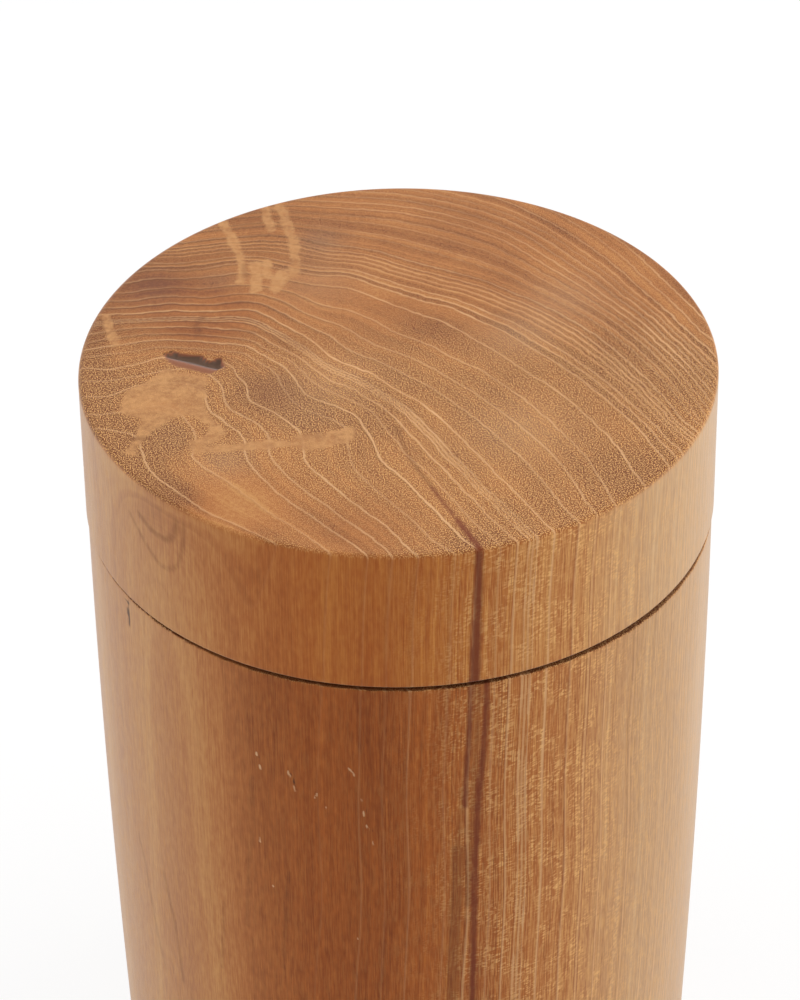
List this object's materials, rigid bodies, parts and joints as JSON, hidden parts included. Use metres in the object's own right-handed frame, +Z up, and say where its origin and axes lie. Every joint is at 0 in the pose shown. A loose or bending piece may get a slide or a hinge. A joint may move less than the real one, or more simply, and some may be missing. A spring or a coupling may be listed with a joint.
{
  "type": "storage jar",
  "caption": "Round turned teak storage jar with gently drawn-in sides, a hollow inside and a flush lift-off lid that plugs into the mouth with a spigot ring.",
  "frame": {"origin": "middle of the flat face that the jar stands on", "axes": "+Z up along the turning axis, towards the lid; +X to the right and -Y towards the viewer of the picture"},
  "size_m": [0.12, 0.12, 0.18],
  "materials": {
    "oiled_teak": "oiled, satin"
  },
  "bodies": {
    "jar": {"jar": "oiled_teak"},
    "lid": {"lid": "oiled_teak"}
  },
  "joints": [
    {"name": "lid_lift", "type": "slide", "parent": "jar", "child": "lid", "axis": [0, 0, 1], "range_m": [0, 0.12]}
  ]
}
